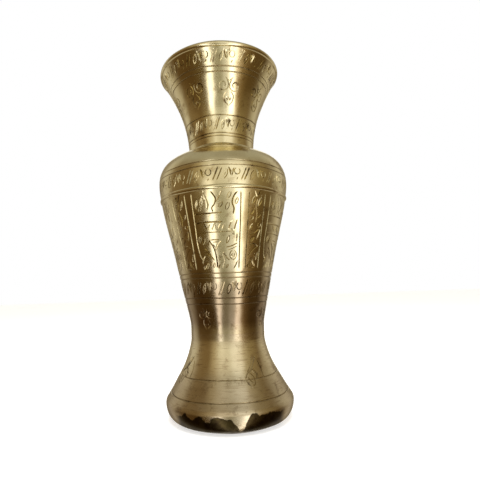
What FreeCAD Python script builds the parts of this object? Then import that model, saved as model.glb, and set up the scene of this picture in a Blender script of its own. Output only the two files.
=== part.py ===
"""Engraved brass flower vase with a flared mouth, brazed up from turned shells, rings and a floor disc.

The frame is the vase's own: +Z up, the origin on the table under the middle of the foot, millimetres.
The shells follow the vase's outer outline, so a wall, a joint or a turned line moves with it.
"""

import FreeCAD
import Part

import math
import os

# Outer radii
FOOT_R = 38.1
RING_TOP_R = 36.9
WAIST_R = 22.0
BELLY_R = 37.9
NECK_R = 19.3
MOUTH_R = 34.2

# Heights of the stages, each from the top of the one below
RING_H = 13.4
BELL_H = 37.35
BODY_H = 85.25
DOME_H = 19.4
NECK_H = 45.6

# Walls of the castings
RING_WALL = 1.8
BELL_WALL = 1.2
BODY_WALL = 1.2
NECK_WALL = 1.2

# Form of a stage between its ends, as (share of its height, share of its change in radius)
BELL_FORM = ((0.093, 0.134), (0.275, 0.369), (0.48, 0.631), (0.685, 0.832), (0.88, 0.963))
BODY_FORM = ((0.055, 0.031), (0.14, 0.117), (0.232, 0.22), (0.378, 0.371), (0.573, 0.585), (0.768, 0.818),
             (0.902, 0.95))
DOME_FORM = ((0.206, 0.019), (0.412, 0.092), (0.588, 0.215), (0.747, 0.425), (0.887, 0.737))
FLARE_POWER = 1.87
FLARE_POINTS = 9

# Foot ring: a flat sole, an elliptical bulge and a lip that stands inside the bell
SOLE_R = 31.2
SOLE_IN_R = 29.2
BULGE_SHARE = 0.75
LIP_H = 3.0
LIP_WALL = 1.0

# Waist: straight lands each side of the joint, a sleeve across it, and the floor disc on the sleeve
LAND_H = 3.25
SLEEVE_H = 5.0
SLEEVE_WALL = 1.0
FLOOR_T = 1.2

# Belly: below the widest point, part of the body's wall laps into the dome's skirt, under a half-round band
SEAM_DROP = 8.4
SKIRT_SHARE = 0.6
LAP_H = 2.4
BAND_H = 2.4
BAND_PROUD = 0.55
BAND_SEAT = 0.25

# Neck: straight at its root, where a thinner spigot drops into the dome
NECK_STRAIGHT = 1.6
SPIGOT_H = 3.0
SPIGOT_SHARE = 0.5

# Mouth: a wire with a slot that fits over the edge of the flare
WIRE_R = 1.35
WIRE_IN = 0.55
WIRE_UP = 0.85

# Brazing
BRAZE_GAP = 0.05
NECK_FILLET = 1.3
HIDDEN_FILLET = 1.4
BEAD_HOLLOW = 0.2
BITE = 0.08

# Turned lines, as shares of a stage's height, and the round-nosed tool that cuts them
TOOL_R = 0.4
LINE_DEPTH = 0.22
BELL_LINES = (0.08, 0.36)
BODY_LINES = (0.194, 0.233, 0.361, 0.391)
DOME_LINES = (0.113, 0.237)
NECK_LINES = (0.107, 0.14, 0.342, 0.776, 0.825)

# Levels that the stages add up to
WAIST_Z = RING_H + BELL_H
BELLY_Z = WAIST_Z + BODY_H
SEAM_Z = BELLY_Z - SEAM_DROP
NECK_Z = BELLY_Z + DOME_H
MOUTH_Z = NECK_Z + NECK_H
FLOOR_Z = WAIST_Z + SLEEVE_H / 2

TAIL = 4.0
WIDE = 400.0
OFFSET_STEPS = 16
UP = FreeCAD.Vector(0, 0, 1)


def at(r, z):
    """A point of the half section."""
    return FreeCAD.Vector(r, 0, z)


def line(a, b):
    return Part.LineSegment(a, b).toShape()


def curve(points, start, end):
    """A smooth edge through the points, leaving along start and arriving along end."""
    spline = Part.BSplineCurve()
    spline.interpolate(Points=points, InitialTangent=start, FinalTangent=end, Scale=False)
    return spline.toShape()


def formed(low, high, form):
    """Points from low to high by way of the form's shares."""
    points = [low]
    for share_z, share_r in form:
        points.append(at(low.x + (high.x - low.x) * share_r, low.z + (high.z - low.z) * share_z))
    return points + [high]


def heading(a, b):
    return (b - a).normalize()


def inward(tangent):
    """The direction into the wall from an outline that runs upwards."""
    return at(-tangent.z, tangent.x)


def inside(edge, depth):
    """The edge moved into the wall by depth, square to itself."""
    first, last = edge.ParameterRange
    if isinstance(edge.Curve, Part.Line):
        step = inward(edge.tangentAt(first)) * depth
        return line(edge.valueAt(first) + step, edge.valueAt(last) + step)
    points = []
    for i in range(OFFSET_STEPS + 1):
        u = first + (last - first) * i / OFFSET_STEPS
        points.append(edge.valueAt(u) + inward(edge.tangentAt(u)) * depth)
    return curve(points, edge.tangentAt(first), edge.tangentAt(last))


def spun(edges):
    """The solid turned from a closed section."""
    face = Part.Face(Part.Wire(Part.__sortEdges__(edges)))
    return face.revolve(FreeCAD.Vector(0, 0, 0), UP, 360)


def skin(outline, near, far):
    """The layer between two depths under an outline."""
    outer = [inside(edge, near) for edge in outline]
    inner = [inside(edge, far) for edge in outline]
    foot = line(inner[0].firstVertex().Point, outer[0].firstVertex().Point)
    head = line(outer[-1].lastVertex().Point, inner[-1].lastVertex().Point)
    return spun(outer + [head] + inner + [foot])


def slab(low, high, radius=WIDE):
    """A plain disc between two heights."""
    return Part.makeCylinder(radius, high - low, at(0, low))


def tube(outer, inner, low, high):
    return slab(low, high, outer).cut(slab(low, high, inner))


def spot(outline, z):
    """Where an outline passes a height, and which way it runs there."""
    for edge in outline:
        low, high = edge.ParameterRange
        if edge.valueAt(low).z <= z <= edge.valueAt(high).z:
            for _ in range(50):
                middle = (low + high) / 2
                if edge.valueAt(middle).z < z:
                    low = middle
                else:
                    high = middle
            return edge.valueAt(low), edge.tangentAt(low)
    raise ValueError("the outline does not reach height %s" % z)


def radius_at(outline, z, depth=0.0):
    """Radius of the wall at a height, at a depth under the outline."""
    return spot([inside(edge, depth) for edge in outline], z)[0].x


def largest(shape):
    """The one solid that is wanted, without any sliver that a cut leaves beside it."""
    return max(shape.Solids, key=lambda solid: solid.Volume)


def turned_lines(piece, outline, low, height, shares):
    """Cuts a round-nosed groove round the piece at each share of a stage's height."""
    for share in shares:
        point, tangent = spot(outline, low + height * share)
        centre = point - inward(tangent) * (TOOL_R - LINE_DEPTH)
        piece = largest(piece.cut(Part.makeTorus(centre.x, TOOL_R, at(0, centre.z))))
    return piece


def bead(corner, side, top, clear_of):
    """A hollow fillet of spelter in a corner, from side to top, cut back to all that it has to clear.

    Its section is pushed into the corner by BITE, so that it crosses both faces instead of grazing them.
    """
    out = at(side.x + top.x, side.z + top.z) / 2 - corner
    push = out * (-BITE / out.Length)
    behind = corner - out / 2
    bow = corner + out * (1 - BEAD_HOLLOW)
    arc = Part.Arc(side + push, bow + push, top + push).toShape()
    ring = spun([arc, line(top + push, behind), line(behind, side + push)])
    for solid in clear_of:
        ring = ring.cut(solid)
    return largest(ring)


def bell_run():
    """Outline of the foot bell, with a straight tail past each end."""
    low = at(RING_TOP_R, RING_H)
    high = at(WAIST_R, WAIST_Z - LAND_H)
    points = formed(low, high, BELL_FORM)
    lean = heading(low, points[1])
    return [line(low - lean * TAIL, low), curve(points, lean, UP), line(high, at(WAIST_R, WAIST_Z + TAIL))]


def body_run():
    """Outline of the body and the shoulder dome, with a straight tail past each end."""
    low = at(WAIST_R, WAIST_Z + LAND_H)
    belly = at(BELLY_R, BELLY_Z)
    top = at(NECK_R, NECK_Z)
    crown = formed(belly, top, DOME_FORM)
    lean = heading(crown[-2], top)
    return [
        line(at(WAIST_R, WAIST_Z - TAIL), low),
        curve(formed(low, belly, BODY_FORM), UP, UP),
        curve(crown, UP, lean),
        line(top, top + lean * TAIL),
    ]


def neck_run():
    """Outline of the neck and its flare, with a straight tail at the root."""
    low = at(NECK_R, NECK_Z + NECK_STRAIGHT)
    high = at(MOUTH_R, MOUTH_Z)
    shares = [i / FLARE_POINTS for i in range(1, FLARE_POINTS)]
    lean = heading(at(0, 0), at(FLARE_POWER * (high.x - low.x), high.z - low.z))
    return [
        line(at(NECK_R, NECK_Z - SPIGOT_H), low),
        curve(formed(low, high, [(share, share ** FLARE_POWER) for share in shares]), UP, lean),
    ]


def ring_run():
    """Outline of the foot ring from its sole to the bell: a quarter ellipse, then a shoulder."""
    bulge_z = RING_H * BULGE_SHARE
    quarter = [math.radians(90 * i / 8) for i in range(9)]
    bulge = [at(SOLE_R + (FOOT_R - SOLE_R) * math.sin(a), bulge_z * (1 - math.cos(a))) for a in quarter]
    widest = at(FOOT_R, bulge_z)
    edge = at(RING_TOP_R, RING_H)
    middle = at(FOOT_R + (edge.x - FOOT_R) / 4, (bulge_z + RING_H) / 2)
    lean = heading(at(0, 0), at(2 * (edge.x - FOOT_R), RING_H - bulge_z))
    return [curve(bulge, at(1, 0), UP), curve([widest, middle, edge], UP, lean)]


def make_foot_rim(bell):
    outer = ring_run()
    inner = [inside(edge, RING_WALL) for edge in outer]
    lip_r = radius_at(bell, RING_H, BELL_WALL + BRAZE_GAP + LIP_WALL)
    heel = at(SOLE_IN_R, 0)
    knee = inner[-1].lastVertex().Point
    ring = spun(outer + inner + [
        line(at(RING_TOP_R, RING_H), at(lip_r, RING_H)),
        line(at(lip_r, RING_H), knee),
        line(inner[0].firstVertex().Point, at(SOLE_IN_R, RING_WALL)),
        line(at(SOLE_IN_R, RING_WALL), heel),
        line(heel, at(SOLE_R, 0)),
    ])
    lip = skin(bell, BELL_WALL + BRAZE_GAP, BELL_WALL + BRAZE_GAP + LIP_WALL)
    return ring.fuse(lip.common(slab(RING_H, RING_H + LIP_H)))


def make_foot_bell(bell):
    shell = skin(bell, 0, BELL_WALL).common(slab(RING_H, WAIST_Z))
    return turned_lines(shell, bell, RING_H, BELL_H, BELL_LINES)


def make_waist_sleeve():
    """Two steps, one to fit each wall, on one bore."""
    lower_r = WAIST_R - BELL_WALL - BRAZE_GAP
    upper_r = WAIST_R - BODY_WALL - BRAZE_GAP
    bore_r = min(lower_r, upper_r) - SLEEVE_WALL
    lower = slab(FLOOR_Z - SLEEVE_H, WAIST_Z, lower_r)
    upper = slab(WAIST_Z, FLOOR_Z, upper_r)
    return lower.fuse(upper).cut(slab(FLOOR_Z - SLEEVE_H, FLOOR_Z, bore_r)).removeSplitter()


def make_floor_disc(body):
    return slab(FLOOR_Z, FLOOR_Z + FLOOR_T, radius_at(body, FLOOR_Z, BODY_WALL) - BRAZE_GAP)


def make_body_shell(body):
    """The body's wall, thinned above the seam to lap into the dome."""
    wall = skin(body, 0, BODY_WALL).common(slab(WAIST_Z, SEAM_Z))
    lap = skin(body, BODY_WALL * SKIRT_SHARE, BODY_WALL).common(slab(SEAM_Z, SEAM_Z + LAP_H))
    return turned_lines(wall.fuse(lap), body, WAIST_Z, BODY_H, BODY_LINES)


def make_shoulder_dome(body):
    """The dome: rebated inside its skirt for the lap, spot-faced and bored for the neck."""
    shell = skin(body, 0, BODY_WALL).common(slab(SEAM_Z, NECK_Z))
    rebate = skin(body, BODY_WALL * SKIRT_SHARE - BRAZE_GAP, BODY_WALL + BRAZE_GAP)
    shell = shell.cut(rebate.common(slab(SEAM_Z, SEAM_Z + LAP_H + BRAZE_GAP)))
    shell = shell.cut(slab(BELLY_Z, NECK_Z, spigot_r() + BRAZE_GAP))
    return turned_lines(shell, body, BELLY_Z, DOME_H, DOME_LINES)


def make_belly_band(body):
    """A half-round band, its back flat against the seam."""
    back_r = radius_at(body, SEAM_Z) - BAND_SEAT
    low = at(back_r, SEAM_Z - BAND_H / 2)
    high = at(back_r, SEAM_Z + BAND_H / 2)
    crest = at(radius_at(body, SEAM_Z) + BAND_PROUD, SEAM_Z)
    return spun([Part.Arc(low, crest, high).toShape(), line(high, low)])


def spigot_r():
    return NECK_R - NECK_WALL * SPIGOT_SHARE


def make_mouth_trumpet(neck):
    shell = skin(neck, 0, NECK_WALL)
    shell = shell.cut(tube(NECK_R + TAIL, spigot_r(), NECK_Z - SPIGOT_H, NECK_Z))
    return turned_lines(shell, neck, NECK_Z, NECK_H, NECK_LINES)


def make_lip_ring(trumpet):
    wire = Part.makeTorus(MOUTH_R - WIRE_IN, WIRE_R, at(0, MOUTH_Z + WIRE_UP))
    return wire.cut(trumpet)


def wall_point(outline, z, depth=0.0):
    return at(radius_at(outline, z, depth), z)


def make_foot_braze(bell, rim, shell):
    """Along the top of the ring's lip, over the gap."""
    z = RING_H + LIP_H
    corner = wall_point(bell, z, BELL_WALL)
    side = corner - at(LIP_WALL, 0)
    return bead(corner, side, wall_point(bell, z + HIDDEN_FILLET, BELL_WALL), [rim, shell, slab(RING_H, z)])


def make_waist_braze(shell):
    """Under the sleeve, over the gap."""
    z = FLOOR_Z - SLEEVE_H
    corner = at(WAIST_R - BELL_WALL, z)
    side = corner - at(HIDDEN_FILLET, 0)
    return bead(corner, side, corner - at(0, HIDDEN_FILLET), [shell, slab(z, FLOOR_Z)])


def make_floor_solder(body, shell):
    """Round the top of the floor disc, over the gap."""
    z = FLOOR_Z + FLOOR_T
    corner = wall_point(body, z, BODY_WALL)
    side = corner - at(HIDDEN_FILLET, 0)
    return bead(corner, side, wall_point(body, z + HIDDEN_FILLET, BODY_WALL), [shell, slab(FLOOR_Z, z)])


def make_neck_braze(body, dome, trumpet):
    """Outside, where the neck stands on the dome."""
    corner = at(NECK_R, NECK_Z)
    side = wall_point(body, NECK_Z - NECK_FILLET / 2)
    return bead(corner, side, corner + at(0, NECK_FILLET), [dome, trumpet])


def main():
    bell = bell_run()
    body = body_run()
    neck = neck_run()

    pieces = {
        "foot_rim": make_foot_rim(bell),
        "foot_bell": make_foot_bell(bell),
        "waist_sleeve": make_waist_sleeve(),
        "floor_disc": make_floor_disc(body),
        "body_shell": make_body_shell(body),
        "shoulder_dome": make_shoulder_dome(body),
        "belly_band": make_belly_band(body),
        "mouth_trumpet": make_mouth_trumpet(neck),
    }
    for seated in ("body_shell", "shoulder_dome"):
        pieces[seated] = pieces[seated].cut(pieces["belly_band"])
    pieces["lip_ring"] = make_lip_ring(pieces["mouth_trumpet"])

    pieces["foot_braze"] = make_foot_braze(bell, pieces["foot_rim"], pieces["foot_bell"])
    pieces["waist_braze"] = make_waist_braze(pieces["foot_bell"])
    pieces["floor_solder"] = make_floor_solder(body, pieces["body_shell"])
    pieces["neck_braze"] = make_neck_braze(body, pieces["shoulder_dome"], pieces["mouth_trumpet"])

    os.makedirs("parts", exist_ok=True)
    for name, shape in pieces.items():
        shape.exportStep("parts/%s.step" % name)


main()
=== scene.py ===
import math
import random

import bmesh
import bpy
import numpy as np
from mathutils import Matrix, Vector


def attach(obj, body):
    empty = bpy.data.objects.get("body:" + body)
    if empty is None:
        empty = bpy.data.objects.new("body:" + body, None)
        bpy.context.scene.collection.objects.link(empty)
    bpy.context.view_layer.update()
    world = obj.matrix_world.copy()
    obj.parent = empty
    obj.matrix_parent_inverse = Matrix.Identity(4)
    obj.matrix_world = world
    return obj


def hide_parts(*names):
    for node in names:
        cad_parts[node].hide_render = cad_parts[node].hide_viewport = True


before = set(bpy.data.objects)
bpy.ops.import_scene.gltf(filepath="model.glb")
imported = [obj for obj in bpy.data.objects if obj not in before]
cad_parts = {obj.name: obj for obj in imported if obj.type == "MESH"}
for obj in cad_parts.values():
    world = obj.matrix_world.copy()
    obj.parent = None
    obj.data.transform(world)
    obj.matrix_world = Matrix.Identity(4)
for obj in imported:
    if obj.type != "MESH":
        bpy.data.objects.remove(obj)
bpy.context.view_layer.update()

MM = 0.001

# Sizes of the turned walls, in millimetres, and angles in degrees
TALL = 203.2
SECTION_STEP = 1.4
CORNER = 24.0
SMOOTH_BELOW = 28
ROUND_STEPS = 216
LEVELS_PER_MM = 5
SLOPE_LEVELS = 7
FORM_LEVELS = 15
END_MARGIN = 2.0
ON_WALL = 0.1
GROOVE_DIP = 0.07
FLAT_RISE = 1e-6

# Lengths that count as none, in metres
WELD = 0.002 * MM
SEAM_SLACK = 1e-7

# Sizes of the hand work, in millimetres, apart from shares, turns and WANDER, which is in degrees. The
# cutting rods stand off the wall by CUT_LIFT, and their thin ends by TIP_LIFT more.
STROKE = 0.88
FINE_STROKE = 0.66
TICK_STROKE = 0.5
TICK_HALF = (0.45, 0.9)
TICK_STRETCH = 1.7
SCROLL_TURNS = 1.35
SCROLL_CLOSING = 0.72
ROD_SHARE = 0.56
CUT_LIFT = 0.16
TIP_LIFT = 0.1
TIP_SHARE = 0.45
TIP_GROWTH = 0.9
STATION = 1.1
LAYER_GAP = STATION * 0.8 + 0.8
WANDER = 0.35
WANDER_Z = 0.25
WIDTH_SPREAD = (0.85, 1.15)

# The engraved bands and panels, in millimetres from one turned line to the next. A panel's ground has
# its count of ticks, then its edges in degrees.
LOWER_BAND = (71.6, 80.4)
SHOULDER_BAND = (130.0, 137.3)
NECK_BAND = (162.6, 170.2)
MOUTH_BAND = (194.0, 200.0)
PANEL_HEIGHTS = (86.5, 125)
PANELS = 5
PANEL_TURN = 72
PANEL_GROUNDS = ((44, -26, 13.5), (22, 23, 37))

# How far use has pushed the wall out, and up for TILT: depth, waves round, rise for each radian, and start.
# The height stays true at the sole and at the lip, over FOOT_HOLD and LIP_HOLD.
WAVES = ((0.07, 3, 14, 0.0), (0.05, 5, -9, 1.3), (0.04, 8, 6, 0.0))
PUSH_IN = 0.12
TILT = (0.2, 4, 20, 0.6)
FOOT_HOLD = 12
LIP_HOLD = 8

TURNED = ("foot_rim", "foot_bell", "body_shell", "belly_band", "shoulder_dome", "neck_braze",
          "mouth_trumpet", "lip_ring")
dice = random.Random(20)


# ---------- sections and turning ----------

def cad_section(node):
    """The node's half section as a closed loop of (radius, height) in mm, read along its seam."""
    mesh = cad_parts[node].data
    loop = {}
    for edge in mesh.edges:
        ends = [mesh.vertices[i].co for i in edge.vertices]
        if all(abs(end.y) < SEAM_SLACK and end.x > 0 for end in ends):
            a, b = [(round(end.x / MM, 3), round(end.z / MM, 3)) for end in ends]
            if a != b:
                loop.setdefault(a, set()).add(b)
                loop.setdefault(b, set()).add(a)
    start = min(loop, key=lambda spot: (spot[1], -spot[0]))
    path = [start]
    before, here = None, start
    while True:
        onward = [spot for spot in sorted(loop[here]) if spot != before]
        before, here = here, onward[-1] if before is None else onward[0]
        if here == start:
            return path
        path.append(here)


def turn_between(a, b, c):
    """Degrees by which the section turns at b."""
    first = Vector((b[0] - a[0], b[1] - a[1]))
    second = Vector((c[0] - b[0], c[1] - b[1]))
    return math.degrees(first.angle(second, 0.0))


def fair(path):
    """The section with points added along smooth curves between its corners, none below its sole."""
    count = len(path)
    lowest = min(z for r, z in path)
    out = []
    for i in range(count):
        before, here, after, beyond = [path[(i + k) % count] for k in (-1, 0, 1, 2)]
        out.append(here)
        pieces = int(math.dist(here, after) / SECTION_STEP)
        if pieces < 1:
            continue
        if turn_between(before, here, after) > CORNER:
            before = mirrored(after, here)
        if turn_between(here, after, beyond) > CORNER:
            beyond = mirrored(here, after)
        for k in range(1, pieces + 1):
            r, z = hermite(before, here, after, beyond, k / (pieces + 1))
            out.append((r, max(z, lowest)))
    return out


def mirrored(spot, middle):
    """The spot on the other side of the middle."""
    return (2 * middle[0] - spot[0], 2 * middle[1] - spot[1])


def hermite(before, here, after, beyond, t):
    """A point between here and after on the curve through all four, weighed by their distances."""
    gap = math.dist(here, after)
    lead = math.dist(before, here)
    tail = math.dist(after, beyond)
    point = []
    for axis in range(2):
        slope = (after[axis] - here[axis]) / gap
        left = ((here[axis] - before[axis]) / lead * gap + slope * lead) / (gap + lead) * gap
        right = ((beyond[axis] - after[axis]) / tail * gap + slope * tail) / (gap + tail) * gap
        point.append((2 * t ** 3 - 3 * t ** 2 + 1) * here[axis] + (t ** 3 - 2 * t ** 2 + t) * left
                     + (3 * t ** 2 - 2 * t ** 3) * after[axis] + (t ** 3 - t ** 2) * right)
    return tuple(point)


def select_nothing():
    """Leaves edit mode and deselects everything."""
    if bpy.context.object and bpy.context.object.mode != "OBJECT":
        bpy.ops.object.mode_set(mode="OBJECT")
    bpy.ops.object.select_all(action="DESELECT")


def select_only(piece):
    """Makes the piece the one that operators act on."""
    select_nothing()
    piece.select_set(True)
    bpy.context.view_layer.objects.active = piece


def weld_and_face_outward():
    """Merges doubles on the piece in edit mode, turns its faces outward and leaves edit mode."""
    bpy.ops.mesh.select_all(action="SELECT")
    bpy.ops.mesh.remove_doubles(threshold=WELD)
    bpy.ops.mesh.normals_make_consistent(inside=False)
    bpy.ops.object.mode_set(mode="OBJECT")


def turned(name, path):
    """Draws the section by extruding one vertex along it, then spins it round the vase's axis."""
    select_nothing()
    bpy.ops.mesh.primitive_plane_add(size=MM, location=(0, 0, 0))
    piece = bpy.context.object
    piece.name = piece.data.name = name
    bpy.ops.object.mode_set(mode="EDIT")
    bpy.ops.mesh.select_all(action="SELECT")
    bpy.ops.mesh.merge(type="CENTER")
    bpy.ops.transform.translate(value=(path[0][0] * MM, 0, path[0][1] * MM))
    for here, after in zip(path, path[1:]):
        step = ((after[0] - here[0]) * MM, 0, (after[1] - here[1]) * MM)
        bpy.ops.mesh.extrude_region_move(TRANSFORM_OT_translate={"value": step})
    bpy.ops.object.mode_set(mode="OBJECT")
    last = len(piece.data.vertices) - 1
    for vertex in piece.data.vertices:
        vertex.select = vertex.index in (0, last)
    bpy.ops.object.mode_set(mode="EDIT")
    bpy.ops.mesh.edge_face_add()
    bpy.ops.mesh.select_all(action="SELECT")
    bpy.ops.mesh.spin(steps=ROUND_STEPS, angle=math.tau, center=(0, 0, 0), axis=(0, 0, 1))
    weld_and_face_outward()
    return piece


def averaged(values, count):
    """The running mean of an odd count of values, with both ends held."""
    return np.convolve(np.pad(values, count // 2, mode="edge"), np.ones(count) / count, mode="valid")


class Wall:
    """The outside of a turned piece: its radius and its outward direction at each height, in mm."""

    def __init__(self, path):
        """Takes the widest radius of the section at each level."""
        self.low = min(z for r, z in path)
        self.high = max(z for r, z in path)
        self.levels = np.linspace(self.low, self.high, int((self.high - self.low) * LEVELS_PER_MM))
        self.radii = np.zeros(len(self.levels))
        for a, b in zip(path, path[1:] + path[:1]):
            low, high = sorted((a, b), key=lambda spot: spot[1])
            if high[1] - low[1] > FLAT_RISE:
                crossed = (self.levels >= low[1]) & (self.levels <= high[1])
                share = (self.levels[crossed] - low[1]) / (high[1] - low[1])
                self.radii[crossed] = np.maximum(self.radii[crossed], low[0] + (high[0] - low[0]) * share)
        self.slopes = np.gradient(averaged(self.radii, SLOPE_LEVELS), self.levels)
        self.dips = averaged(self.radii, FORM_LEVELS) - self.radii

    def groove(self, z):
        """How far the wall dips under its general form."""
        return float(np.interp(z, self.levels, self.dips))

    def radius(self, z):
        """The wall's outer radius."""
        return float(np.interp(z, self.levels, self.radii))

    def point(self, angle, z, lift=0.0):
        """A point over the wall, in metres. The angle is in degrees from the front, to the right."""
        slope = float(np.interp(z, self.levels, self.slopes))
        tilt = math.hypot(1, slope)
        r = self.radius(z) + lift / tilt
        turn = math.radians(angle)
        return Vector((r * math.sin(turn), -r * math.cos(turn), z - lift * slope / tilt)) * MM


# ---------- strokes of the graver, as (degrees, mm) on the wall ----------

def stroke(*spots, width=STROKE):
    """One cut that runs smoothly through the spots."""
    return {"spots": list(spots), "width": width}


def leaf(a0, z0, a1, z1, belly):
    """Two bowed strokes that meet at both tips. The belly is in degrees, each side."""
    middle = ((a0 + a1) / 2, (z0 + z1) / 2)
    out = []
    for side in (-belly, belly):
        out.append(stroke((a0, z0), (middle[0] + side, middle[1]), (a1, z1), width=FINE_STROKE))
    return out


def scroll(angle, z, radius, hand, start, stretch):
    """A spiral that winds inwards. The radius is in mm, and stretch is how many degrees a millimetre is."""
    spots = []
    count = int(SCROLL_TURNS * 10)
    for k in range(count + 1):
        share = k / count
        turn = math.radians(start + hand * 360 * SCROLL_TURNS * share)
        reach = radius * (1 - SCROLL_CLOSING * share)
        spots.append((angle + reach * stretch * math.cos(turn), z + reach * math.sin(turn)))
    return [stroke(*spots)]


def ring(angle, z, radius, stretch=2.0, tall=1.0):
    """A small circle that the graver leaves just open, in ten steps of 34 degrees."""
    spots = []
    for k in range(11):
        turn = math.radians(96 + 34 * k)
        spots.append((angle + radius * stretch * math.cos(turn), z + radius * tall * math.sin(turn)))
    return [stroke(*spots, width=FINE_STROKE)]


def repeated(strokes, count, first=0.0):
    """The strokes again at each of count equal turns."""
    out = []
    for k in range(count):
        turn = first + 360.0 * k / count
        for one in strokes:
            spots = [(a + turn, z) for a, z in one["spots"]]
            out.append({"spots": spots, "width": one["width"]})
    return out


def by_hand(strokes):
    """The strokes as a hand cuts them, none quite in its place."""
    out = []
    for one in strokes:
        a, z = dice.uniform(-WANDER, WANDER), dice.uniform(-WANDER_Z, WANDER_Z)
        spots = [(spot[0] + a, spot[1] + z) for spot in one["spots"]]
        out.append({"spots": spots, "width": one["width"] * dice.uniform(*WIDTH_SPREAD)})
    return out


def band(low, high, count):
    """A band of slanted strokes, leaves, chevrons and rings between two turned lines."""
    unit = 360.0 / count
    tall = high - low

    def put(x, y):
        """The spot at share x along the unit and share y up the band."""
        return (x * unit, low + y * tall)

    lean = [
        stroke(put(0.02, 0.04), put(0.13, 0.5), put(0.22, 0.96)),
        stroke(put(0.13, 0.05), put(0.24, 0.5), put(0.33, 0.95)),
    ]
    leaf_unit = lean + leaf(*put(0.38, 0.1), *put(0.52, 0.85), unit * 0.07)
    leaf_unit += [stroke(put(0.43, 0.35), put(0.49, 0.65), width=FINE_STROKE)]
    chevron = [
        stroke(put(0.58, 0.93), put(0.66, 0.3)),
        stroke(put(0.67, 0.28), put(0.76, 0.93)),
        stroke(put(0.62, 0.9), put(0.665, 0.62), put(0.71, 0.9), width=FINE_STROKE),
    ]
    drop = ring(*put(0.87, 0.62), tall * 0.2, stretch=unit * 0.1 / (tall * 0.2), tall=1.1)
    drop += [stroke(put(0.84, 0.06), put(0.9, 0.3))]
    return repeated(leaf_unit + chevron + drop, count, first=-unit * 0.35)


def spiral_pendant(angle, z, size, stretch):
    """Two facing scrolls over a drop, which hangs from a turned line."""
    out = scroll(angle - size * 1.05 * stretch, z, size, -1, 60, stretch)
    out += scroll(angle + size * 1.05 * stretch, z, size, 1, 120, stretch)
    drop = z - size * 1.9
    wide = size * 0.85 * stretch
    out += [
        stroke((angle - wide * 0.3, z - size * 0.75), (angle - wide, drop + size * 0.2),
               (angle - wide * 0.75, drop - size * 0.6), (angle, drop - size * 1.05)),
        stroke((angle + wide * 0.3, z - size * 0.75), (angle + wide, drop + size * 0.2),
               (angle + wide * 0.75, drop - size * 0.6), (angle + wide * 0.08, drop - size * 1.05)),
        stroke((angle - wide * 0.5, drop + size * 0.3), (angle - wide * 0.25, drop - size * 0.35),
               (angle - wide * 0.02, drop + size * 0.25), width=FINE_STROKE),
        stroke((angle + wide * 0.06, drop + size * 0.25), (angle + wide * 0.3, drop - size * 0.35),
               (angle + wide * 0.52, drop + size * 0.3), width=FINE_STROKE),
        stroke((angle - wide * 0.9, z + size * 1.35), (angle, z + size * 0.7),
               (angle + wide * 0.9, z + size * 1.35), width=FINE_STROKE),
    ]
    return out


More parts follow.
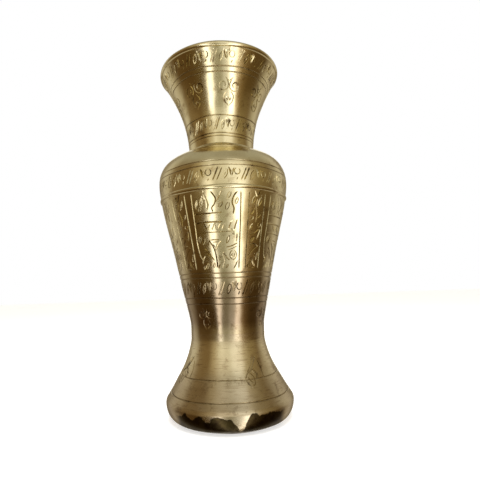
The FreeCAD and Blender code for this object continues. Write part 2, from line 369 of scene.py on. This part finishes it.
def main_panel():
    """Branches over a plain band, a row of chevrons and a goblet between two plain columns."""
    out = [
        stroke((-27.3, 125.2), (-27.4, 110), (-27.3, 96.5), (-26, 92.8), (-22.5, 90.6)),
        stroke((14.4, 125.2), (14.5, 105), (14.4, 86)),
        stroke((-27, 114.7), (-14, 114.5), (-1.5, 114.6)),
        stroke((-27, 110.3), (-14, 110.4), (-1, 110.2)),
        stroke((-27, 105.5), (-10, 105.3), (8, 105.4), width=FINE_STROKE),
        stroke((-14, 101.6), (-4.6, 101.4)),
        stroke((-9.4, 115.2), (-10.4, 117.2), (-7.6, 119.4), (-6.8, 121.6), (-8.4, 123.6), (-10.6, 125.6)),
        stroke((-6.6, 119.6), (-3.6, 122.2), (-0.8, 125.4)),
        stroke((-14.6, 115.6), (-12.4, 118.6), (-13.6, 121.8), (-16.4, 125.4)),
        stroke((12.4, 125), (9.2, 122.6), (7.7, 119.6), (9.4, 116.4), (8.4, 113.6)),
        stroke((-18.4, 109.7), (-15.6, 106.6)),
        stroke((-15.2, 106.5), (-12.4, 109.7)),
        stroke((-11.6, 106.4), (-8.8, 109.8)),
        stroke((-7.9, 109.8), (-6.9, 106.7)),
        stroke((-5.4, 106.4), (-2.6, 109.8)),
        stroke((-1.9, 106.6), (0.4, 109.6)),
        stroke((3.8, 106.2), (6.8, 110.4)),
        stroke((8.8, 105.6), (11.8, 111)),
        stroke((-15.6, 101), (-12.2, 98.2), (-10.2, 95), (-9.3, 91), (-8.8, 87)),
        stroke((-2.4, 101), (-6.4, 98.4), (-9, 95.6)),
        stroke((-12, 100), (-5.2, 100), width=FINE_STROKE),
        stroke((-11.6, 99.4), (-8.8, 97.2), (-5.8, 99.5), width=FINE_STROKE),
        stroke((-21.6, 97.6), (-17.6, 96), (-14.4, 93), (-11, 90.8)),
        stroke((-20.6, 95.4), (-17, 93.6), (-14.2, 91), width=FINE_STROKE),
        stroke((1.4, 97.2), (7.6, 97.9), (13.6, 99.4)),
        stroke((2, 95.9), (7.6, 96.7), (13.2, 98), width=FINE_STROKE),
        stroke((11.4, 99.8), (11.9, 104.6)),
        stroke((-2.2, 95.2), (1.6, 92.4), (5, 90.4)),
        stroke((9, 86.4), (11.6, 88.2), (13.6, 90.8)),
        stroke((-25, 89.2), (-22.6, 92.2), (-20, 94)),
        stroke((-3.4, 86.4), (-0.6, 90.6), (-2.6, 94), width=FINE_STROKE),
    ]
    leaves = (
        (-19.4, 117.6, -17.4, 123.4, 1.3), (-21.6, 115.8, -19.4, 118.8, 1.1), (-3.6, 116.8, -0.8, 120.4, 1.4),
        (2, 115.6, 4.8, 120, 1.4), (-24.2, 117.2, -22.2, 122, 1.2), (3.6, 121, 6.4, 125, 1.1),
        (-13, 86.6, -10.8, 90, 1.0), (-7.4, 86.2, -5.4, 89.4, 1.0), (-15.6, 87.6, -13.4, 90.4, 1.0),
        (-6.6, 90.4, -4.6, 93.6, 0.9), (-24.4, 85.9, -21, 88.6, 1.1), (5.2, 107, 9.6, 103, 1.2),
        (-25.2, 100, -22.6, 104, 1.2), (-22, 99, -18.6, 103.2, 1.3), (1.8, 99, 5, 103.6, 1.4),
        (-20, 86, -17.6, 90, 1.1), (0.6, 86.2, 3, 89, 1.0), (10, 118, 12.6, 122, 1.0),
    )
    for one in leaves:
        out += leaf(*one)
    out += ring(8.2, 93.2, 1.9, stretch=1.8, tall=1.25) + ring(8.2, 93.2, 0.8, stretch=1.8)
    return out


def narrow_panel():
    """Paired leaves on a stem, an arrowhead leaf and a small triangle."""
    out = [
        stroke((22, 125.2), (22, 105), (22, 85.6)),
        stroke((38, 125.2), (38, 105), (38, 86)),
        stroke((27, 126), (30, 122.6), (33, 126)),
        stroke((30, 122), (29, 118), (30.6, 114), (29.6, 109.8)),
        stroke((23.8, 103.4), (29, 104.4), (35.6, 106.4), (33, 101.6)),
        stroke((35.8, 97.2), (28.6, 98.8), (24.4, 97)),
        stroke((23.4, 91.2), (28.8, 95.2), (36.2, 98.2), width=FINE_STROKE),
        stroke((24.4, 86.4), (26.8, 89.2), (29, 91.8)),
        stroke((29.3, 91.6), (31.4, 89), (33.8, 86.6)),
        stroke((25.2, 86.1), (33, 86.3)),
        stroke((26.8, 87.4), (29.1, 89.8), (31.6, 87.5), width=FINE_STROKE),
    ]
    leaves = (
        (24.6, 118.6, 28, 123.6, 1.4), (31.4, 118, 35, 123.4, 1.4), (24, 113, 28.2, 116.8, 1.3),
        (31.4, 111.6, 35.8, 115.8, 1.3), (24.4, 106, 27.6, 109.4, 1.1), (34.4, 90, 36.8, 95, 0.9),
        (25, 99.6, 31, 102.8, 1.2),
    )
    for one in leaves:
        out += leaf(*one)
    return out + ring(34.4, 108.6, 0.9) + ring(26.2, 112, 0.7)


def ground_ticks(count, a0, a1):
    """Short marks that roughen the panel's ground between the figures."""
    out = []
    for _ in range(count):
        a, z = dice.uniform(a0, a1), dice.uniform(*PANEL_HEIGHTS)
        turn = dice.uniform(0, math.pi)
        half = dice.uniform(*TICK_HALF)
        across, up = half * TICK_STRETCH * math.cos(turn), half * math.sin(turn)
        out.append(stroke((a - across, z - up), (a + across, z + up), width=TICK_STROKE))
    return out


def foot_flower():
    """A long leaf that falls to a curled flower."""
    out = [
        stroke((36, 38), (30, 34), (25, 31), (19, 29), (17.4, 27)),
        stroke((31.6, 38), (26.4, 33.6), (20.6, 30.2), width=FINE_STROKE),
        stroke((17.2, 29), (18.4, 26), (21, 24), (23.6, 22.6)),
        stroke((20.4, 28), (22.6, 26.2), (25.2, 24.8)),
        stroke((24, 30), (28, 27.6), (27.4, 24.6), (24.2, 23.6), width=FINE_STROKE),
        stroke((38.2, 36.6), (41, 31.4), (40, 26.6), width=FINE_STROKE),
    ]
    return out + leaf(27, 31.6, 32, 29, 1.6) + leaf(30, 26.4, 34, 30, 1.4)


# ---------- cutting ----------

def smooth_path(spots, wall):
    """Even stations along the smooth curve through the spots."""
    count = len(spots)
    out = []
    for i in range(count - 1):
        here, after = spots[i], spots[i + 1]
        before = spots[i - 1] if i > 0 else mirrored(after, here)
        beyond = spots[i + 2] if i + 2 < count else mirrored(here, after)
        length = math.hypot(math.radians(after[0] - here[0]) * wall.radius(here[1]), after[1] - here[1])
        steps = max(1, math.ceil(length / STATION))
        for k in range(steps):
            out.append(hermite(before, here, after, beyond, k / steps))
    return out + [spots[-1]]


def cutter_layers(strokes, wall):
    """Sorts the strokes into layers in which none touches another."""
    layers = []
    for one in strokes:
        path = smooth_path(one["spots"], wall)
        flat = np.array([(math.radians(a) * wall.radius(z), z) for a, z in path])
        low, high = flat.min(0) - one["width"], flat.max(0) + one["width"]
        cut = {"path": path, "width": one["width"], "flat": flat, "low": low, "high": high}
        for layer in layers:
            if not any(meets(cut, other) for other in layer):
                layer.append(cut)
                break
        else:
            layers.append([cut])
    return layers


def meets(cut, other):
    """Whether two cuts come too close to be made at once."""
    if (cut["low"] > other["high"]).any() or (cut["high"] < other["low"]).any():
        return False
    gaps = np.linalg.norm(cut["flat"][:, None, :] - other["flat"][None, :, :], axis=2)
    return gaps.min() < LAYER_GAP


def cutter(layer, wall, material):
    """One mesh of all the layer's strokes, each a tapered rod laid half into the wall."""
    curve = bpy.data.curves.new("graver", "CURVE")
    curve.dimensions = "3D"
    curve.bevel_depth = MM
    curve.bevel_resolution = 0
    curve.use_fill_caps = True
    for cut in layer:
        last = len(cut["path"]) - 1
        line = curve.splines.new("POLY")
        line.points.add(last)
        for k, (a, z) in enumerate(cut["path"]):
            taper = min(1.0, TIP_SHARE + TIP_GROWTH * min(k, last - k))
            line.points[k].co = (*wall.point(a, z, CUT_LIFT + (1 - taper) * TIP_LIFT), 1)
            line.points[k].radius = cut["width"] * ROD_SHARE * taper
    rods = bpy.data.objects.new("graver", curve)
    bpy.context.scene.collection.objects.link(rods)
    select_only(rods)
    bpy.ops.object.convert(target="MESH")
    rods = bpy.context.object
    rods.data.materials.clear()
    for _ in range(2):  # the rods' faces use the second slot, which is the cuts' slot on the piece
        rods.data.materials.append(material)
    bpy.ops.object.mode_set(mode="EDIT")
    weld_and_face_outward()
    for face in rods.data.polygons:
        face.material_index = 1
    return rods


def engrave(piece, strokes, wall):
    """Cuts the strokes into the piece, one layer after another."""
    for layer in cutter_layers(strokes, wall):
        rods = cutter(layer, wall, piece.data.materials[1])
        select_only(piece)
        chisel = piece.modifiers.new("chisel", "BOOLEAN")
        chisel.operation = "DIFFERENCE"
        chisel.solver = "MANIFOLD"
        chisel.object = rods
        bpy.ops.object.modifier_apply(modifier=chisel.name)
        bpy.data.objects.remove(rods)
    sweep_chips(piece)


def sweep_chips(piece):
    """Deletes the chips of metal that the cuts leave, small shells that share no edge with the wall."""
    shape = bmesh.new()
    shape.from_mesh(piece.data)
    unseen = set(shape.faces)
    shells = []
    while unseen:
        shell = [unseen.pop()]
        for face in shell:
            for edge in face.edges:
                for other in edge.link_faces:
                    if other in unseen:
                        unseen.remove(other)
                        shell.append(other)
        shells.append(shell)
    shells.sort(key=len)
    chips = [face for shell in shells[:-1] for face in shell]
    bmesh.ops.delete(shape, geom=chips, context="FACES")
    shape.to_mesh(piece.data)
    shape.free()


# ---------- materials ----------

LATHE_SCALE = (150.0, 150.0, 1300.0)
TARNISH_EDGE = 0.16
DULLING = 0.2
FLOOR_GLOW = 0.6
LOWER_BODY_REFLECTION_DARKENING = (0.46, 0.4, 0.42)

# Painted darker reflection, darkest on the narrow lower body: a share of DARKER_REFLECTION_TO, in metres, and
# how much
DARKER_REFLECTION_TO = 0.2
DARKER_REFLECTION_SHARES = ((0.11, 0.52), (0.165, 0.06), (0.21, 0.0), (0.285, 1.0), (0.37, 0.88), (0.43, 0.36),
          (0.5, 0.12), (0.56, 0.0))

# The rim's oxide and painted dark reflection, in millimetres: its ragged top, where its sides fade, and a
# lighter wedge painted into the reflection
OXIDE_AND_REFLECTION_DARK = (0.02, 0.011, 0.006)
OXIDE_AND_REFLECTION_LIGHT = (0.1, 0.075, 0.025)
OXIDE_AND_REFLECTION_TOP = (7.6, 12.2)
OXIDE_AND_REFLECTION_FADE = 0.8
OXIDE_AND_REFLECTION_SIDES = (26.0, 30.5)
LIGHTER_REFLECTION_MIDDLE = 5.4
LIGHTER_REFLECTION_HALF = 6.0
LIGHTER_REFLECTION_TALL = 7.5


def add(tree, kind, **settings):
    """A new node in the tree."""
    node = tree.nodes.new(kind)
    for key, value in settings.items():
        setattr(node, key, value)
    return node


def shader(name):
    """A new material with its node tree, its surface node and the place on the piece."""
    material = bpy.data.materials.new(name)
    material.use_nodes = True
    tree = material.node_tree
    place = add(tree, "ShaderNodeTexCoord").outputs["Object"]
    return material, tree, tree.nodes["Principled BSDF"], place


def split_up(tree, place):
    """The place's three coordinates."""
    node = add(tree, "ShaderNodeSeparateXYZ")
    tree.links.new(place, node.inputs["Vector"])
    return [node.outputs[axis] for axis in "XYZ"]


def noise(tree, place, scale, detail=2.0, roughness=0.5):
    """A cloudy pattern over the place."""
    node = add(tree, "ShaderNodeTexNoise")
    node.inputs["Scale"].default_value = scale
    node.inputs["Detail"].default_value = detail
    node.inputs["Roughness"].default_value = roughness
    tree.links.new(place, node.inputs["Vector"])
    return node.outputs["Fac"]


def ramp(tree, value, stops):
    """A colour for each value. A stop is a place from 0 to 1 and its colour."""
    node = add(tree, "ShaderNodeValToRGB")
    elements = node.color_ramp.elements
    while len(elements) < len(stops):
        elements.new(0.5)
    for element, (place, colour) in zip(elements, stops):
        element.position = place
        element.color = (*colour, 1.0)
    tree.links.new(value, node.inputs["Fac"])
    return node.outputs["Color"]


def grey(value):
    """A colour of three equal parts."""
    return (value, value, value)


def ranged(tree, value, start, end, low=0.0, high=1.0, kind="LINEAR"):
    """The value brought from start and end to low and high, and held there."""
    node = add(tree, "ShaderNodeMapRange", interpolation_type=kind)
    for key, number in (("From Min", start), ("From Max", end), ("To Min", low), ("To Max", high)):
        node.inputs[key].default_value = number
    tree.links.new(value, node.inputs["Value"])
    return node.outputs["Result"]


def maths(tree, operation, first, second=None):
    """One sum. The second value is a socket, a number or nothing."""
    node = add(tree, "ShaderNodeMath", operation=operation)
    tree.links.new(first, node.inputs[0])
    if isinstance(second, float):
        node.inputs[1].default_value = second
    elif second is not None:
        tree.links.new(second, node.inputs[1])
    return node.outputs["Value"]


def overlaid(tree, under, over, cover, mode="MIX"):
    """One colour over another, where cover says. A colour is a socket or three numbers."""
    mix = add(tree, "ShaderNodeMix", data_type="RGBA", blend_type=mode)
    tree.links.new(cover, mix.inputs["Factor"])
    tree.links.new(under, mix.inputs[6])
    if isinstance(over, tuple):
        mix.inputs[7].default_value = (*over, 1.0)
    else:
        tree.links.new(over, mix.inputs[7])
    return mix.outputs[2]


def bump(tree, height, strength, depth):
    """A node that raises the surface by the height, up to the depth in millimetres."""
    node = add(tree, "ShaderNodeBump")
    node.inputs["Strength"].default_value = strength
    node.inputs["Distance"].default_value = depth * MM
    tree.links.new(height, node.inputs["Height"])
    return node


def brass(name, light, dark, tarnish, rough, tarnish_from=0.55, lathe_depth=0.16, streaks=0.0, patina_and_reflection=False):
    """Hand-buffed brass: cloudy colour, brown tarnish in patches, painted darker reflection low down, lathe
    marks and fine dents, and on the rim its oxide with painted dark reflection.
    """
    material, tree, surface, place = shader(name)
    link = tree.links.new
    lathe_place = add(tree, "ShaderNodeMapping")
    lathe_place.inputs["Scale"].default_value = LATHE_SCALE
    link(place, lathe_place.inputs["Vector"])
    cloud = noise(tree, place, scale=38.0, detail=5.0, roughness=0.6)
    spots = noise(tree, place, scale=130.0, detail=8.0, roughness=0.72)
    lathe = noise(tree, lathe_place.outputs["Vector"], scale=1.0, detail=3.0)
    dents = noise(tree, place, scale=65.0)

    colour = ramp(tree, cloud, ((0.3, dark), (0.62, light)))
    patch = ramp(tree, spots, ((tarnish_from, grey(0.0)), (tarnish_from + TARNISH_EDGE, grey(1.0))))
    stains_and_painted_reflection = overlaid(tree, colour, tarnish, patch)
    # Multiplies in painted darker reflection, full on the narrow lower body and half on the rim.
    stains_and_painted_reflection = overlaid(tree, stains_and_painted_reflection, LOWER_BODY_REFLECTION_DARKENING, darker_reflection_by_height(tree, place), mode="MULTIPLY")
    if streaks:
        streak = ramp(tree, lathe, ((0.55, grey(0.0)), (0.7, grey(streaks))))
        stains_and_painted_reflection = overlaid(tree, stains_and_painted_reflection, tarnish, streak)
    if patina_and_reflection:
        # The rim's oxide and a painted dark reflection of the floor in front, in one colour.
        oxide_and_reflection = ramp(tree, spots, ((0.35, OXIDE_AND_REFLECTION_DARK), (0.7, OXIDE_AND_REFLECTION_LIGHT)))
        stains_and_painted_reflection = overlaid(tree, stains_and_painted_reflection, oxide_and_reflection, rim_oxide_and_reflection(tree, place))
    link(stains_and_painted_reflection, surface.inputs["Base Color"])
    surface.inputs["Metallic"].default_value = 1.0

    lathe_bump = bump(tree, lathe, strength=lathe_depth, depth=0.08)
    dent_bump = bump(tree, dents, strength=0.6, depth=0.5)
    link(lathe_bump.outputs["Normal"], dent_bump.inputs["Normal"])
    link(dent_bump.outputs["Normal"], surface.inputs["Normal"])
    link(ranged(tree, spots, 0.0, 1.0, rough, rough + DULLING), surface.inputs["Roughness"])
    return material


def darker_reflection_by_height(tree, place):
    """Painted darker reflection by height: full on the narrow lower body and half on the rim."""
    height = split_up(tree, place)[2]
    level = ranged(tree, height, 0.0, DARKER_REFLECTION_TO)
    return ramp(tree, level, [(share, grey(cover)) for share, cover in DARKER_REFLECTION_SHARES])


def rim_oxide_and_reflection(tree, place):
    """Where the dark oxide and painted dark reflection lie: low on the rim's front and back, ragged, with a
    lighter wedge of painted reflection.
    """
    across, depth, height = split_up(tree, place)
    ragged = noise(tree, place, scale=70.0, detail=4.0)
    edge = ranged(tree, ragged, 0.32, 0.68, OXIDE_AND_REFLECTION_TOP[0] * MM, OXIDE_AND_REFLECTION_TOP[1] * MM, "SMOOTHSTEP")
    aside = maths(tree, "ABSOLUTE", maths(tree, "SUBTRACT", across, LIGHTER_REFLECTION_MIDDLE * MM))
    # A lighter wedge of painted reflection on the front.
    lighter_reflection_drop = ranged(tree, aside, 0.0, LIGHTER_REFLECTION_HALF * MM, LIGHTER_REFLECTION_TALL * MM, 0.0, "SMOOTHSTEP")
    lighter_reflection_front = maths(tree, "MULTIPLY", lighter_reflection_drop, maths(tree, "LESS_THAN", depth, 0.0))
    below = maths(tree, "SUBTRACT", maths(tree, "SUBTRACT", edge, lighter_reflection_front), height)
    low_down = ranged(tree, below, 0.0, OXIDE_AND_REFLECTION_FADE * MM, kind="SMOOTHSTEP")
    off_front = maths(tree, "ABSOLUTE", across)
    in_patch = ranged(tree, off_front, OXIDE_AND_REFLECTION_SIDES[0] * MM, OXIDE_AND_REFLECTION_SIDES[1] * MM, 1.0, 0.0, "SMOOTHSTEP")
    return maths(tree, "MULTIPLY", low_down, in_patch)


def pale_floor():
    """White paper, with a glow that only the camera sees."""
    material, tree, surface, place = shader("floor_paper")
    tone = ramp(tree, noise(tree, place, scale=12.0), ((0.0, grey(0.84)), (1.0, grey(0.88))))
    tree.links.new(tone, surface.inputs["Base Color"])
    surface.inputs["Roughness"].default_value = 0.9
    surface.inputs["Emission Color"].default_value = (1.0, 1.0, 1.0, 1.0)
    seen = add(tree, "ShaderNodeLightPath").outputs["Is Camera Ray"]
    tree.links.new(maths(tree, "MULTIPLY", seen, FLOOR_GLOW), surface.inputs["Emission Strength"])
    return material


FOOT_LOOK = {"light": (0.84, 0.74, 0.46), "dark": (0.66, 0.54, 0.31), "tarnish": (0.34, 0.24, 0.12),
             "rough": 0.14, "lathe_depth": 0.26, "streaks": 0.5}
BRASS = brass("polished_brass", (0.84, 0.74, 0.44), (0.66, 0.55, 0.29), (0.36, 0.25, 0.1), 0.09)
FOOT_BRASS = brass("worn_brass", **FOOT_LOOK)
# The rim's brass, with painted dark reflection over its oxide.
RIM_BRASS_WITH_REFLECTION = brass("patina_and_reflection_brass", **FOOT_LOOK, patina_and_reflection=True)
LINE = brass("turned_line", (0.56, 0.46, 0.24), (0.3, 0.22, 0.1), (0.1, 0.065, 0.03), 0.22, tarnish_from=0.5)
CUT = brass("graver_cut", (0.72, 0.61, 0.32), (0.42, 0.33, 0.14), (0.1, 0.06, 0.02), 0.16, tarnish_from=0.48)
INNER = brass("inner_brass", (0.5, 0.4, 0.2), (0.32, 0.25, 0.12), (0.14, 0.09, 0.04), 0.35)
SPELTER = brass("spelter", (0.56, 0.5, 0.29), (0.47, 0.4, 0.22), (0.26, 0.2, 0.12), 0.4)
BUFFED_BRAZE = brass("buffed_braze", (0.8, 0.7, 0.41), (0.64, 0.54, 0.29), (0.36, 0.26, 0.12), 0.26)
SKINS = {"foot_rim": RIM_BRASS_WITH_REFLECTION, "foot_bell": FOOT_BRASS, "neck_braze": BUFFED_BRAZE}
INSIDE_SKINS = {"floor_disc": INNER, "waist_sleeve": INNER, "floor_solder": SPELTER,
                "waist_braze": SPELTER, "foot_braze": SPELTER}


# ---------- making ----------

sections = {node: fair(cad_section(node)) for node in TURNED}
walls = {node: Wall(path) for node, path in sections.items()}

panels = by_hand(repeated(main_panel() + narrow_panel(), PANELS))
ticks = []
for k in range(PANELS):
    for count, left, right in PANEL_GROUNDS:
        ticks += ground_ticks(count, left + PANEL_TURN * k, right + PANEL_TURN * k)
engraving = {
    "body_shell": panels + ticks + by_hand(band(*LOWER_BAND, 12))
    + by_hand(repeated(spiral_pendant(angle=-31, z=61.4, size=2.6, stretch=2.55), 4)),
    "shoulder_dome": by_hand(band(*SHOULDER_BAND, 16)),
    "mouth_trumpet": by_hand(band(*MOUTH_BAND, 14)) + by_hand(band(*NECK_BAND, 10))
    + by_hand(repeated(spiral_pendant(angle=12, z=184.8, size=3.0, stretch=2.35), 8)),
    "foot_bell": by_hand(repeated(foot_flower(), 4)),
}


def darken_grooves(piece, wall):
    """The turned lines hold tarnish."""
    for face in piece.data.polygons:
        r = math.hypot(face.center.x, face.center.y) / MM
        z = face.center.z / MM
        inside = min(z - wall.low, wall.high - z) > END_MARGIN
        if inside and abs(r - wall.radius(z)) < ON_WALL and wall.groove(z) > GROOVE_DIP:
            face.material_index = 2


def worked_by_hand(piece):
    """Pushes the wall in and out a little, the same way on every piece, so that the joints stay shut."""
    for vertex in piece.data.vertices:
        turn = math.atan2(vertex.co.x, -vertex.co.y)
        z = vertex.co.z / MM
        push = 0.0
        for depth, count, rise, start in WAVES:
            push += depth * math.sin(count * turn + z / rise + start)
        r = math.hypot(vertex.co.x, vertex.co.y)
        swell = 1 + (push - PUSH_IN) * MM / r
        vertex.co.x *= swell
        vertex.co.y *= swell
        depth, count, rise, start = TILT
        lean = depth * MM * math.sin(count * turn + z / rise + start)
        lean *= min(1.0, z / FOOT_HOLD)
        lean *= min(1.0, (TALL - z) / LIP_HOLD)
        vertex.co.z += lean


def finish_turned(node):
    """Turns the node's piece again with finer curves, engraves it and puts it in the node's place."""
    piece = turned(node + "_turned", sections[node])
    piece.data.materials.append(SKINS.get(node, BRASS))
    piece.data.materials.append(LINE if node == "foot_bell" else CUT)
    piece.data.materials.append(LINE)
    darken_grooves(piece, walls[node])
    if node in engraving:
        engrave(piece, engraving[node], walls[node])
    worked_by_hand(piece)
    select_only(piece)
    bpy.ops.object.shade_smooth_by_angle(angle=math.radians(SMOOTH_BELOW))
    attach(piece, "root")
    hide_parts(node)


for node in TURNED:
    finish_turned(node)

for node, material in INSIDE_SKINS.items():
    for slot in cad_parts[node].material_slots:
        slot.material = material


# ---------- floor, light and camera ----------

# The studio's walls, as bearings in degrees from the front and the colour there
LOW_FLATS = (
    (-180, (0.5, 0.46, 0.4)), (-178, (0.5, 0.46, 0.38)), (-175, (1.7, 1.66, 1.55)),
    (-166, (1.6, 1.56, 1.45)), (-162, (0.26, 0.21, 0.14)), (-140, (0.3, 0.26, 0.2)),
    (-129, (0.6, 0.55, 0.5)), (-112, (0.44, 0.39, 0.32)), (-94, (0.13, 0.078, 0.03)),
    (-62, (0.1, 0.055, 0.017)), (-38, (0.15, 0.105, 0.042)), (-31, (0.28, 0.22, 0.13)),
    (-29, (2.5, 2.5, 2.75)), (-20, (2.5, 2.5, 2.75)), (-15, (0.4, 0.38, 0.3)), (3, (0.42, 0.4, 0.32)),
    (9, (0.78, 0.77, 0.76)), (22, (0.98, 0.97, 0.98)), (26, (2.8, 2.8, 3.1)), (36, (2.5, 2.5, 2.7)),
    (42, (0.7, 0.54, 0.34)), (54, (0.24, 0.155, 0.065)), (72, (0.11, 0.065, 0.021)),
    (99, (0.1, 0.062, 0.024)), (116, (0.42, 0.36, 0.29)), (129, (0.6, 0.54, 0.48)),
    (141, (0.3, 0.26, 0.2)), (159, (0.24, 0.19, 0.12)), (163, (1.5, 1.46, 1.35)),
    (172, (1.6, 1.56, 1.45)), (175, (0.6, 0.55, 0.46)), (180, (0.5, 0.46, 0.4)),
)
HIGH_FLATS = (
    (-180, (0.6, 0.56, 0.48)), (-177, (0.6, 0.56, 0.46)), (-173, (1.3, 1.26, 1.15)),
    (-166, (1.2, 1.16, 1.05)), (-161, (0.3, 0.25, 0.17)), (-140, (0.36, 0.31, 0.23)),
    (-126, (0.62, 0.58, 0.52)), (-110, (0.56, 0.51, 0.43)), (-96, (0.24, 0.17, 0.09)),
    (-58, (0.2, 0.13, 0.055)), (-42, (0.5, 0.41, 0.26)), (-26, (0.8, 0.75, 0.66)),
    (-20, (1.05, 1.02, 0.98)), (-10, (0.86, 0.82, 0.75)), (8, (0.84, 0.81, 0.75)),
    (14, (1.15, 1.14, 1.16)), (39, (1.15, 1.13, 1.14)), (46, (0.62, 0.54, 0.4)),
    (60, (0.32, 0.25, 0.13)), (92, (0.2, 0.14, 0.07)), (112, (0.52, 0.48, 0.4)),
    (128, (0.62, 0.57, 0.5)), (142, (0.36, 0.31, 0.23)), (160, (0.28, 0.23, 0.15)),
    (164, (1.1, 1.06, 0.95)), (172, (1.2, 1.16, 1.05)), (176, (0.62, 0.57, 0.48)),
    (180, (0.6, 0.56, 0.48)),
)
LOW_TO_HIGH = (-0.12, 0.04)
CEILING = (0.4, 0.38, 0.33)


def make_floor():
    """A wide sheet under the vase, which its brass doesn't mirror."""
    select_nothing()
    bpy.ops.mesh.primitive_plane_add(size=8.0, location=(0, 0, 0))
    floor = bpy.context.object
    floor.name = floor.data.name = "floor"
    floor.data.materials.append(pale_floor())
    floor.visible_glossy = False


def flats(tree, bearing, stops):
    """The studio's wall, from its table of bearings and colours."""
    return ramp(tree, bearing, [((degrees + 180) / 360, colour) for degrees, colour in stops])


def make_studio():
    """Soft light from all round, with darker flats at the sides."""
    world = bpy.data.worlds.new("studio")
    bpy.context.scene.world = world
    world.use_nodes = True
    tree = world.node_tree
    place = add(tree, "ShaderNodeTexCoord").outputs["Generated"]
    across, depth, height = split_up(tree, place)
    bearing = maths(tree, "ARCTAN2", across, maths(tree, "MULTIPLY", depth, -1.0))
    around = ranged(tree, bearing, -math.pi, math.pi)
    level = ranged(tree, height, *LOW_TO_HIGH)
    walls_round = overlaid(tree, flats(tree, around, LOW_FLATS), flats(tree, around, HIGH_FLATS), level)
    overhead = ramp(tree, height, ((0.0, grey(0.0)), (0.55, grey(0.0)), (0.85, grey(1.0))))
    room = overlaid(tree, walls_round, CEILING, overhead)
    seen = add(tree, "ShaderNodeLightPath").outputs["Is Camera Ray"]
    shown = overlaid(tree, room, grey(1.0), seen)
    tree.links.new(shown, tree.nodes["Background"].inputs["Color"])


def make_lamp(name, place, aim, size, power):
    """A soft box that doesn't show itself."""
    data = bpy.data.lights.new(name, "AREA")
    data.shape = "RECTANGLE"
    data.size, data.size_y = size
    data.energy = power
    lamp = bpy.data.objects.new(name, data)
    bpy.context.scene.collection.objects.link(lamp)
    lamp.location = place
    lamp.rotation_euler = (Vector(aim) - Vector(place)).to_track_quat("-Z", "Y").to_euler()
    lamp.visible_camera = False
    lamp.visible_glossy = False


def make_camera(place, roll, lens, shift):
    """Level with the lower body, a little rolled, with its frame shifted up."""
    data = bpy.data.cameras.new("camera")
    data.lens = lens
    data.sensor_width = 36.0
    data.shift_x, data.shift_y = shift
    data.clip_start = 0.005
    camera = bpy.data.objects.new("camera", data)
    bpy.context.scene.collection.objects.link(camera)
    camera.matrix_world = (Matrix.Translation(place)
                           @ Matrix.Rotation(math.radians(90), 4, "X")
                           @ Matrix.Rotation(math.radians(roll), 4, "Z"))
    bpy.context.scene.camera = camera


bpy.context.scene.view_settings.view_transform = "Standard"
make_floor()
make_studio()
make_lamp("overhead", place=(0.0, -0.1, 0.9), aim=(0, 0, 0.1), size=(0.5, 0.5), power=6.0)
make_camera(place=(0.0, -0.23, 0.07447), roll=-1.99, lens=28.61, shift=(0.0285, 0.1055))
